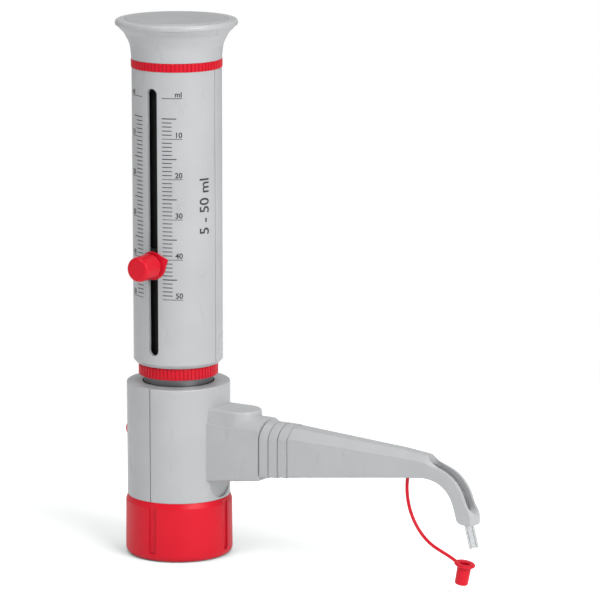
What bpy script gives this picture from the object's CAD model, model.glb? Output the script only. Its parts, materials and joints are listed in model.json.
"""A plunger instrument with a 5 - 50 ml scale printed on its sleeve.

Metres, +Z up.  The sleeve stands round the Z axis; its slot and scale face -Y, the arm is at +X.
"""
import json
import math

import bmesh
import bpy
from mathutils import Matrix, Vector


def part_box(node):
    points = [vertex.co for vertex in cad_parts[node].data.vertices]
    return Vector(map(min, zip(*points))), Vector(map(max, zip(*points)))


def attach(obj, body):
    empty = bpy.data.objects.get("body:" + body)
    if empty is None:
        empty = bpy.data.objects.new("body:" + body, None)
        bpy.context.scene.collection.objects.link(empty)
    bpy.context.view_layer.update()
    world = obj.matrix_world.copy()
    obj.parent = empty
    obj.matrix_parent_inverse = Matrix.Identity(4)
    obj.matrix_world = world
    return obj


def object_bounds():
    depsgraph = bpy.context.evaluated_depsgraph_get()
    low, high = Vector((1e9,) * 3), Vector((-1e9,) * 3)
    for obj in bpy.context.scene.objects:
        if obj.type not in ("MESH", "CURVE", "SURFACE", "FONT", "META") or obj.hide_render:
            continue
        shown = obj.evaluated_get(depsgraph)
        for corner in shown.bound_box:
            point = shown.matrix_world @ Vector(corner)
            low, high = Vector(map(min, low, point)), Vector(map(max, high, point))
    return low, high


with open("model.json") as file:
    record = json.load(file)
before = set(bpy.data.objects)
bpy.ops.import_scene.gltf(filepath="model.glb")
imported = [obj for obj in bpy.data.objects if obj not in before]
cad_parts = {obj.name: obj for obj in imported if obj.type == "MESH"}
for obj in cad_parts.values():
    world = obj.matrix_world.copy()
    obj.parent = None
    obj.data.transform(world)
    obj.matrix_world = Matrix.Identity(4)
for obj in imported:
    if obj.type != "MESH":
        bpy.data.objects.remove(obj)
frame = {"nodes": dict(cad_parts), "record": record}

MM = 0.001
CAD_LO, CAD_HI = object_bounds()
NODES = frame["nodes"]
SLOT_OF = {part["node"]: part["material_slot"] for part in frame["record"]["subparts"]}


def add_object(name, data):
    ob = bpy.data.objects.new(name, data)
    bpy.context.scene.collection.objects.link(ob)
    return ob


# ------------------------------------------------------------------ node helpers
class Graph:
    """Wires the nodes of one material or world."""

    def __init__(self, owner, output_kind):
        owner.use_nodes = True
        self.tree = owner.node_tree
        self.tree.nodes.clear()
        self.output = self.add(output_kind)

    def feed(self, socket, value):
        """Link another socket in, or set a plain value; colours are given as RGB."""
        if isinstance(value, bpy.types.NodeSocket):
            self.tree.links.new(value, socket)
        else:
            socket.default_value = (*value, 1.0) if socket.type == "RGBA" else value

    def add(self, kind, inputs=None, **props):
        node = self.tree.nodes.new(kind)
        for name, value in props.items():
            setattr(node, name, value)
        for key, value in (inputs or {}).items():
            self.feed(node.inputs[key], value)
        return node

    def span(self, value, low, high, from_min=0.3, from_max=0.7):
        """Map from_min..from_max to low..high."""
        return self.add("ShaderNodeMapRange", {
            "From Min": from_min, "From Max": from_max,
            "To Min": low, "To Max": high, "Value": value}).outputs["Result"]

    def maths(self, operation, a, b):
        node = self.add("ShaderNodeMath", {0: a, 1: b}, operation=operation)
        return node.outputs["Value"]

    def light_path(self, kind):
        return self.add("ShaderNodeLightPath").outputs[kind]

    def mix_shaders(self, factor, first, second):
        node = self.add("ShaderNodeMixShader", {"Fac": factor, 1: first, 2: second})
        return node.outputs["Shader"]

    def show(self, shader):
        self.feed(self.output.inputs["Surface"], shader)


class Surface(Graph):
    """A material with one principled shader, textured in object coordinates."""

    def __init__(self, name):
        self.material = bpy.data.materials.new(name)
        super().__init__(self.material, "ShaderNodeOutputMaterial")
        self.principled = self.add("ShaderNodeBsdfPrincipled")
        self.show(self.principled.outputs["BSDF"])
        self.coord = self.add("ShaderNodeTexCoord").outputs["Object"]
        self.normal = None

    def mapped(self, scale, turn=(0, 0, 0)):
        inputs = {"Scale": scale, "Rotation": turn, "Vector": self.coord}
        return self.add("ShaderNodeMapping", inputs).outputs["Vector"]

    def noise(self, scale, detail=3.0, roughness=0.55, vector=None):
        return self.add("ShaderNodeTexNoise", {
            "Scale": scale, "Detail": detail, "Roughness": roughness,
            "Vector": vector or self.coord}).outputs["Fac"]

    def voronoi(self, scale, vector):
        inputs = {"Scale": scale, "Vector": vector}
        return self.add("ShaderNodeTexVoronoi", inputs).outputs["Distance"]

    def mix(self, factor, first, second):
        """Mix two colours; 6 and 7 are the node's colour inputs, 2 its colour output."""
        inputs = {"Factor": factor, 6: first, 7: second}
        return self.add("ShaderNodeMix", inputs, data_type="RGBA").outputs[2]

    def round_edges(self, radius):
        self.normal = self.add("ShaderNodeBevel", {"Radius": radius}, samples=6).outputs["Normal"]

    def bump(self, height, strength, distance):
        """Lay one more relief, distance in metres, over those so far."""
        inputs = {"Height": height, "Strength": strength, "Distance": distance}
        if self.normal:
            inputs["Normal"] = self.normal
        self.normal = self.add("ShaderNodeBump", inputs).outputs["Normal"]
        self.set(Normal=self.normal)

    def set(self, **values):
        for name, value in values.items():
            self.feed(self.principled.inputs[name.replace("_", " ")], value)


def scaled(colour, factor, lift=0.0):
    return tuple(c * factor + lift for c in colour)


# ------------------------------------------------------------------ materials
def plastic(name, base, rough, edge, seed, grain=0.05, coat=0.0, sss=0.0, spec=0.5, echo=None):
    """Moulded plastic: faint mottle, fine grain, worn patches in the gloss.

    echo is the colour that diffuse rays see instead of the base.
    """
    mottle = 0.03
    s = Surface(name)
    shift = s.mapped(scale=(1 + 0.01 * seed, 1, 1), turn=(0.1 * seed, 0.07 * seed, 0))
    soft = s.noise(scale=34.0, detail=4.0, roughness=0.5, vector=shift)
    fine = s.noise(scale=2600.0, detail=2.0, roughness=0.6, vector=shift)
    pores = s.voronoi(scale=3400.0, vector=shift)
    rub = s.noise(scale=120.0, detail=5.0, roughness=0.62, vector=s.mapped(scale=(1.0, 1.0, 0.35)))
    colour = s.mix(s.span(soft, low=0.0, high=1.0, from_min=0.35, from_max=0.65),
                   scaled(base, 1 - mottle), scaled(base, 1 + mottle))
    colour = s.mix(s.span(fine, low=0.0, high=0.06), colour, scaled(base, 0.86))
    worn = s.span(rub, low=rough - 0.05, high=rough + 0.06)
    roughness = s.maths("ADD", worn, s.span(fine, low=-0.02, high=0.02))
    if echo:
        colour = s.mix(s.light_path("Is Diffuse Ray"), colour, echo)
    s.set(Base_Color=colour, Roughness=roughness, IOR=1.49, Specular_IOR_Level=spec)
    if coat:
        s.set(Coat_Weight=coat, Coat_Roughness=0.12)
    if sss:
        s.set(Subsurface_Weight=sss, Subsurface_Scale=0.002, Subsurface_Radius=(1.0, 0.75, 0.6))
    s.round_edges(radius=edge)
    s.bump(height=pores, strength=grain * 0.6, distance=0.00004)
    s.bump(height=fine, strength=grain, distance=0.00005)
    s.bump(height=soft, strength=0.03, distance=0.0004)
    return s.material


def metal(name, base, rough):
    """Turned metal: fine rings of tool marks round Z, with a slightly uneven sheen."""
    s = Surface(name)
    rings = s.noise(scale=1.0, detail=2.0, roughness=0.5, vector=s.mapped(scale=(25, 25, 5200)))
    cloud = s.noise(scale=90.0, detail=4.0, roughness=0.6)
    colour = s.mix(s.span(rings, low=0, high=1), scaled(base, 0.82), scaled(base, 1.08))
    colour = s.mix(s.span(cloud, low=0.0, high=0.25), colour, scaled(base, 0.6))
    roughness = s.maths("ADD", s.span(rings, low=rough - 0.06, high=rough + 0.1),
                        s.span(cloud, low=-0.03, high=0.04))
    s.set(Base_Color=colour, Metallic=1.0, Roughness=roughness)
    s.round_edges(radius=0.00015)
    s.bump(height=rings, strength=0.12, distance=0.00003)
    return s.material


def glass(name, tint, ior, rough):
    """Clear glass: faint draw lines along Z and a little dust."""
    s = Surface(name)
    lines = s.noise(scale=1.0, detail=2.0, roughness=0.5, vector=s.mapped(scale=(900, 900, 12)))
    dust = s.noise(scale=700.0, detail=4.0, roughness=0.7)
    roughness = s.maths("ADD", s.span(dust, low=rough * 0.6, high=rough * 1.8),
                        s.span(lines, low=0.0, high=0.01))
    s.set(Base_Color=tint, IOR=ior, Transmission_Weight=1.0, Roughness=roughness)
    s.bump(height=lines, strength=0.03, distance=0.00003)
    return s.material


def tubing(name, face, rim):
    """Translucent tube: opacity goes from face, seen head on, to rim at its edges."""
    s = Surface(name)
    lines = s.noise(scale=1.0, detail=2.0, roughness=0.5, vector=s.mapped(scale=(700, 700, 14)))
    cloud = s.noise(scale=140.0, detail=3.0, roughness=0.5)
    facing = s.add("ShaderNodeLayerWeight", {"Blend": 0.42}).outputs["Facing"]
    opacity = s.maths("ADD", s.span(facing, low=face, high=rim, from_min=0.1, from_max=0.95),
                      s.span(lines, low=-0.012, high=0.012))
    colour = s.mix(s.span(cloud, low=0, high=1), (0.23, 0.235, 0.24), (0.28, 0.285, 0.29))
    s.set(Base_Color=colour, Roughness=s.span(cloud, low=0.14, high=0.22), IOR=1.36)
    through = s.add("ShaderNodeBsdfTransparent", {"Color": (0.95, 0.955, 0.96)})
    s.show(s.mix_shaders(opacity, through.outputs["BSDF"], s.principled.outputs["BSDF"]))
    return s.material


def rubber(name, base):
    """Matt rubber with a paler bloom."""
    s = Surface(name)
    fine = s.noise(scale=3000.0, detail=3.0, roughness=0.7)
    bloom = s.noise(scale=160.0, detail=5.0, roughness=0.6)
    colour = s.mix(s.span(bloom, low=0, high=1), base, scaled(base, 1.9, lift=0.01))
    s.set(Base_Color=colour, Roughness=s.span(bloom, low=0.55, high=0.8), IOR=1.5)
    s.round_edges(radius=0.0002)
    s.bump(height=fine, strength=0.25, distance=0.00005)
    return s.material


def ceramic(name, base):
    """Glossy ceramic, slightly clouded."""
    s = Surface(name)
    cloud = s.noise(scale=260.0, detail=4.0, roughness=0.5)
    colour = s.mix(s.span(cloud, low=0, high=1), base, scaled(base, 0.93))
    s.set(Base_Color=colour, Roughness=s.span(cloud, low=0.1, high=0.2), IOR=1.6,
          Coat_Weight=0.3, Coat_Roughness=0.05)
    s.round_edges(radius=0.0001)
    s.bump(height=s.noise(scale=2500.0), strength=0.03, distance=0.00003)
    return s.material


def ink(name, base):
    """Screen-printed ink: slightly uneven density, matt."""
    s = Surface(name)
    fine = s.noise(scale=3800.0, detail=3.0, roughness=0.7)
    colour = s.mix(s.span(fine, low=0, high=1), base, scaled(base, 1.7, lift=0.01))
    s.set(Base_Color=colour, Roughness=s.span(fine, low=0.5, high=0.68), IOR=1.45)
    s.bump(height=fine, strength=0.15, distance=0.00002)
    return s.material


GREY = (0.515, 0.525, 0.538)
RED = (0.770, 0.003, 0.021)
BLACK = (0.021, 0.021, 0.022)
WHITE = (0.80, 0.80, 0.78)
BY_SLOT = {
    "grey_plastic": plastic("grey_moulding", GREY, rough=0.31, edge=0.0005, coat=0.3, seed=1),
    "red_plastic": plastic("red_moulding", RED, rough=0.36, edge=0.00035, spec=0.32, seed=2,
                           echo=(0.16, 0.15, 0.15)),
    "black_plastic": plastic("black_moulding", BLACK, rough=0.42, edge=0.0002, seed=3),
    "clear_glass": glass("borosilicate_glass", tint=(0.97, 0.985, 0.98), ior=1.47, rough=0.012),
    "clear_tubing": tubing("fluoropolymer_tubing", face=0.14, rim=0.62),
    "white_fluoroplastic": plastic("white_fluoroplastic", WHITE, rough=0.45, grain=0.04,
                                   edge=0.0002, sss=0.15, seed=4),
    "ceramic": ceramic("ceramic_white", base=(0.84, 0.82, 0.77)),
    "rubber": rubber("black_rubber", base=(0.018, 0.018, 0.018)),
    "steel": metal("brushed_steel", base=(0.30, 0.30, 0.31), rough=0.3),
}
# Pieces whose look differs from the rest of their slot.
BY_NODE = {
    "handle_cover": plastic("grey_cover", scaled(GREY, 0.84), rough=0.36, edge=0.00012, seed=5),
    "cylinder_ferrule": metal("ferrule_steel", base=(0.24, 0.24, 0.25), rough=0.34),
}
for name, node in NODES.items():
    node.data.materials.clear()
    node.data.materials.append(BY_NODE.get(name, BY_SLOT[SLOT_OF[name]]))

# ------------------------------------------------------------------ printed scale
SLEEVE_R = -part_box("sleeve_front")[0].y
INK_TOP_R = SLEEVE_R + 0.03 * MM
INK_BOTTOM_R = SLEEVE_R - 0.08 * MM
WRAP_STEP = 0.5 * MM  # longest flat stretch of print round the sleeve

PLATE_LO, PLATE_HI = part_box("pointer_plate")
REST_ML = 40.0
REST_Z = (PLATE_LO.z + PLATE_HI.z) / 2 + 3.4 * MM
ML_PITCH = 2.037 * MM

# Angles round the sleeve from the slot's centre line, in degrees.
TICK_START = 14.2
LONG_END = 40.4
NUMBER_EDGE = 40.2
LEFT_SHIFT = 1.8  # the left half of the scale sits this much further out
RANGE_ANGLE = 77.0

ZERO_THICK = 0.34 * MM
# Ticks at every so many ml: end angle, thickness; the first multiple that fits is used.
TICKS = {10: (LONG_END, 0.32 * MM), 5: (32.8, 0.50 * MM), 1: (26.9, 0.44 * MM)}
CAP_HEIGHT = 0.73  # height of a capital at font size 1


def z_of(ml):
    return REST_Z + (REST_ML - ml) * ML_PITCH


def arc(degrees):
    return SLEEVE_R * math.radians(degrees)


def on_sleeve(along, z, radius):
    """along: arc length from the slot's centre line, positive towards the arm."""
    angle = along / SLEEVE_R
    return (radius * math.sin(angle), -radius * math.cos(angle), z)


def wrapped_bars(name, bars):
    """Printed bars round the sleeve, each (start arc, end arc, z, thickness)."""
    verts, faces = [], []
    for start, end, z, thick in bars:
        first = len(verts)
        steps = max(4, int(abs(end - start) / WRAP_STEP))
        for i in range(steps + 1):
            along = start + (end - start) * i / steps
            for radius in (INK_TOP_R, INK_BOTTOM_R):
                verts.append(on_sleeve(along, z - thick / 2, radius))
                verts.append(on_sleeve(along, z + thick / 2, radius))
        for i in range(steps):
            a = first + 4 * i
            b = a + 4
            faces += [(a, b, b + 1, a + 1), (a + 2, a + 3, b + 3, b + 2),
                      (a, a + 2, b + 2, b), (a + 1, b + 1, b + 3, a + 3)]
        a, b = first, first + 4 * steps
        faces += [(a, a + 1, a + 3, a + 2), (b, b + 2, b + 3, b + 1)]
    mesh = bpy.data.meshes.new(name)
    mesh.from_pydata(verts, [], faces)
    bm = bmesh.new()
    bm.from_mesh(mesh)
    write_closed(bm, mesh)
    return mesh


def write_closed(bm, mesh):
    """Turn the normals outwards and store the result."""
    bmesh.ops.recalc_face_normals(bm, faces=bm.faces)
    bm.to_mesh(mesh)
    bm.free()


def text_mesh(text, height, bold, align):
    """A flat line of text with thickness, lying in XY."""
    font = bpy.data.curves.new("letters", "FONT")
    font.body = text
    font.size = height / CAP_HEIGHT
    font.align_x = align
    font.align_y = "BOTTOM_BASELINE"
    font.offset = bold
    font.resolution_u = 4
    font.extrude = 0.04 * MM
    ob = add_object("letters", font)
    bpy.context.view_layer.update()
    evaluated = ob.evaluated_get(bpy.context.evaluated_depsgraph_get())
    mesh = bpy.data.meshes.new_from_object(evaluated)
    bpy.data.objects.remove(ob)
    bpy.data.curves.remove(font)
    return mesh


def wrap_text(mesh, along, z, turned):
    """Bend a text mesh round the sleeve; turned text reads up the sleeve."""
    bm = bmesh.new()
    bm.from_mesh(mesh)
    bmesh.ops.remove_doubles(bm, verts=bm.verts, dist=1e-7)
    if turned:
        bmesh.ops.transform(bm, matrix=Matrix.Rotation(math.pi / 2, 4, "Z"), verts=bm.verts)
    # Cut into narrow columns so that the letters can bend.
    xs = [v.co.x for v in bm.verts]
    x = min(xs) + WRAP_STEP
    while x < max(xs):
        bmesh.ops.bisect_plane(bm, geom=bm.verts[:] + bm.edges[:] + bm.faces[:],
                               plane_co=(x, 0, 0), plane_no=(1, 0, 0), dist=1e-8)
        x += WRAP_STEP
    for v in bm.verts:
        radius = INK_TOP_R if v.co.z > 0 else INK_BOTTOM_R
        v.co = Vector(on_sleeve(along + v.co.x, z + v.co.y, radius))
    bm.to_mesh(mesh)
    bm.free()


def lettering(lines, height, bold, align, turned=False):
    """One mesh of printed lines, each (text, arc, baseline z)."""
    joined = bmesh.new()
    for text, along, z in lines:
        line = text_mesh(text, height, bold, align)
        wrap_text(line, along, z, turned)
        joined.from_mesh(line)
        bpy.data.meshes.remove(line)
    mesh = bpy.data.meshes.new("lettering")
    write_closed(joined, mesh)
    return mesh


def print_on_plunger(name, mesh):
    ob = add_object(name, mesh)
    mesh.materials.append(INK)
    for face in mesh.polygons:
        face.use_smooth = False
    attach(ob, "plunger")


def tick(side, shift, ml, end, thick):
    return (side * arc(TICK_START + shift), side * arc(end + shift), z_of(ml), thick)


def half_scale(name, side, shift, align):
    """Ticks and numbers on one side of the slot; side is +1 towards +X, -1 towards -X."""
    bars = [tick(side, shift, 0, LONG_END, ZERO_THICK)]
    for ml in range(5, 51):
        multiple = next(m for m in TICKS if ml % m == 0)
        bars.append(tick(side, shift, ml, *TICKS[multiple]))
    ticks_name = "scale_ticks_" + name
    print_on_plunger(ticks_name, wrapped_bars(ticks_name, bars))
    lines = [(str(ml) if ml else "ml", side * arc(NUMBER_EDGE + shift), z_of(ml) + 0.75 * MM)
             for ml in range(0, 51, 10)]
    print_on_plunger("scale_numbers_" + name,
                     lettering(lines, height=2.75 * MM, bold=0.09 * MM, align=align))


INK = ink("scale_ink", base=(0.030, 0.031, 0.034))
half_scale("right", side=1, shift=0.0, align="RIGHT")
half_scale("left", side=-1, shift=LEFT_SHIFT, align="LEFT")
print_on_plunger("range_lettering", lettering(
    [("5 - 50 ml", arc(RANGE_ANGLE), z_of(26) - 2.0 * MM)],
    height=5.8 * MM, bold=0.1 * MM, align="CENTER", turned=True))


# ------------------------------------------------------------------ stage
def floor_material():
    """Matt white.  The camera sees it lifted, fading to plain white away from the object."""
    gain = 1.40  # brightness of the floor near the object, to the camera only
    s = Surface("studio_floor")
    cloud = s.noise(scale=3.0, detail=3.0, roughness=0.5)
    fine = s.noise(scale=900.0, detail=3.0, roughness=0.6)
    colour = s.mix(s.span(cloud, low=0, high=1), (0.955, 0.955, 0.957), (0.965, 0.965, 0.965))
    s.set(Base_Color=colour, Roughness=s.span(fine, low=0.6, high=0.72), Specular_IOR_Level=0.15)
    s.bump(height=fine, strength=0.02, distance=0.00005)
    away = s.add("ShaderNodeVectorMath", {0: s.coord}, operation="LENGTH").outputs["Value"]
    fade = s.span(away, low=0.0, high=1.0, from_min=0.12, from_max=0.50)
    camera_ray = s.light_path("Is Camera Ray")
    white = s.add("ShaderNodeEmission", {"Color": (1.0, 1.0, 1.0)})
    lifted = s.add("ShaderNodeBsdfDiffuse", {"Color": (gain, gain * 1.012, gain * 1.012)})
    near = s.mix_shaders(camera_ray, s.principled.outputs["BSDF"], lifted.outputs["BSDF"])
    far = s.maths("MULTIPLY", fade, camera_ray)
    s.show(s.mix_shaders(far, near, white.outputs["Emission"]))
    return s.material


def disc(name, radius, rings, sectors):
    """A flat disc whose rings crowd towards the centre."""
    verts = [(0, 0, 0)]
    for i in range(1, rings + 1):
        r = radius * (i / rings) ** 2
        for j in range(sectors):
            angle = 2 * math.pi * j / sectors
            verts.append((r * math.cos(angle), r * math.sin(angle), 0))
    faces = [(0, 1 + j, 1 + (j + 1) % sectors) for j in range(sectors)]
    for i in range(rings - 1):
        inner = 1 + i * sectors
        outer = inner + sectors
        for j in range(sectors):
            k = (j + 1) % sectors
            faces.append((inner + j, outer + j, outer + k, inner + k))
    mesh = bpy.data.meshes.new(name)
    mesh.from_pydata(verts, [], faces)
    return mesh


def white_world():
    """Plain white to the camera; as a light, dimmer overhead than at the horizon."""
    world = bpy.data.worlds.new("studio")
    bpy.context.scene.world = world
    g = Graph(world, "ShaderNodeOutputWorld")
    way = g.add("ShaderNodeTexCoord").outputs["Generated"]
    up = g.add("ShaderNodeSeparateXYZ", {0: way}).outputs["Z"]
    dim = g.span(up, low=0.50, high=0.20, from_min=0.0, from_max=0.9)
    lit, seen = (g.add("ShaderNodeBackground", {"Color": (1.0, 1.0, 1.0), "Strength": strength})
                 for strength in (dim, 1.0))
    g.show(g.mix_shaders(g.light_path("Is Camera Ray"),
                         lit.outputs["Background"], seen.outputs["Background"]))


def point_along(ob, direction):
    ob.rotation_mode = "QUATERNION"
    ob.rotation_quaternion = direction.to_track_quat("-Z", "Y")


def softbox(name, at, target, size, power):
    light = bpy.data.lights.new(name, "AREA")
    light.shape = "RECTANGLE"
    light.size = size
    light.size_y = size
    light.energy = power
    ob = add_object(name, light)
    ob.location = at
    point_along(ob, Vector(target) - Vector(at))
    ob.visible_camera = False


def camera(look, azimuth, elevation, distance):
    """Long lens; azimuth in degrees from -Y towards +X, elevation above the horizon."""
    data = bpy.data.cameras.new("camera")
    ob = add_object("camera", data)
    data.sensor_width = 36.0
    data.lens = 249.0
    data.clip_start = 0.05
    data.clip_end = 60.0
    az, el = math.radians(azimuth), math.radians(elevation)
    back = Vector((math.sin(az) * math.cos(el), -math.cos(az) * math.cos(el), math.sin(el)))
    ob.location = Vector(look) + back * distance
    point_along(ob, -back)
    bpy.context.scene.camera = ob


floor = add_object("floor", disc("floor", radius=12.0, rings=14, sectors=96))
floor.data.materials.append(floor_material())
floor.location = (0.05, 0.03, CAD_LO.z - 0.1 * MM)

white_world()

AIM = (0.05, 0.03, 0.12)
softbox("key", at=(1.15, -0.40, 0.80), target=AIM, size=0.8, power=11.0)
softbox("top", at=(0.00, 0.30, 1.50), target=(0.08, 0.03, 0.0), size=1.0, power=6.0)
softbox("fill", at=(-0.10, -0.95, 1.35), target=AIM, size=0.8, power=5.5)

camera(look=(0.0524, 0.0327, 0.129), azimuth=32.0, elevation=11.25, distance=2.102)
bpy.context.scene.view_settings.view_transform = "Standard"
bpy.context.scene.view_settings.look = "None"
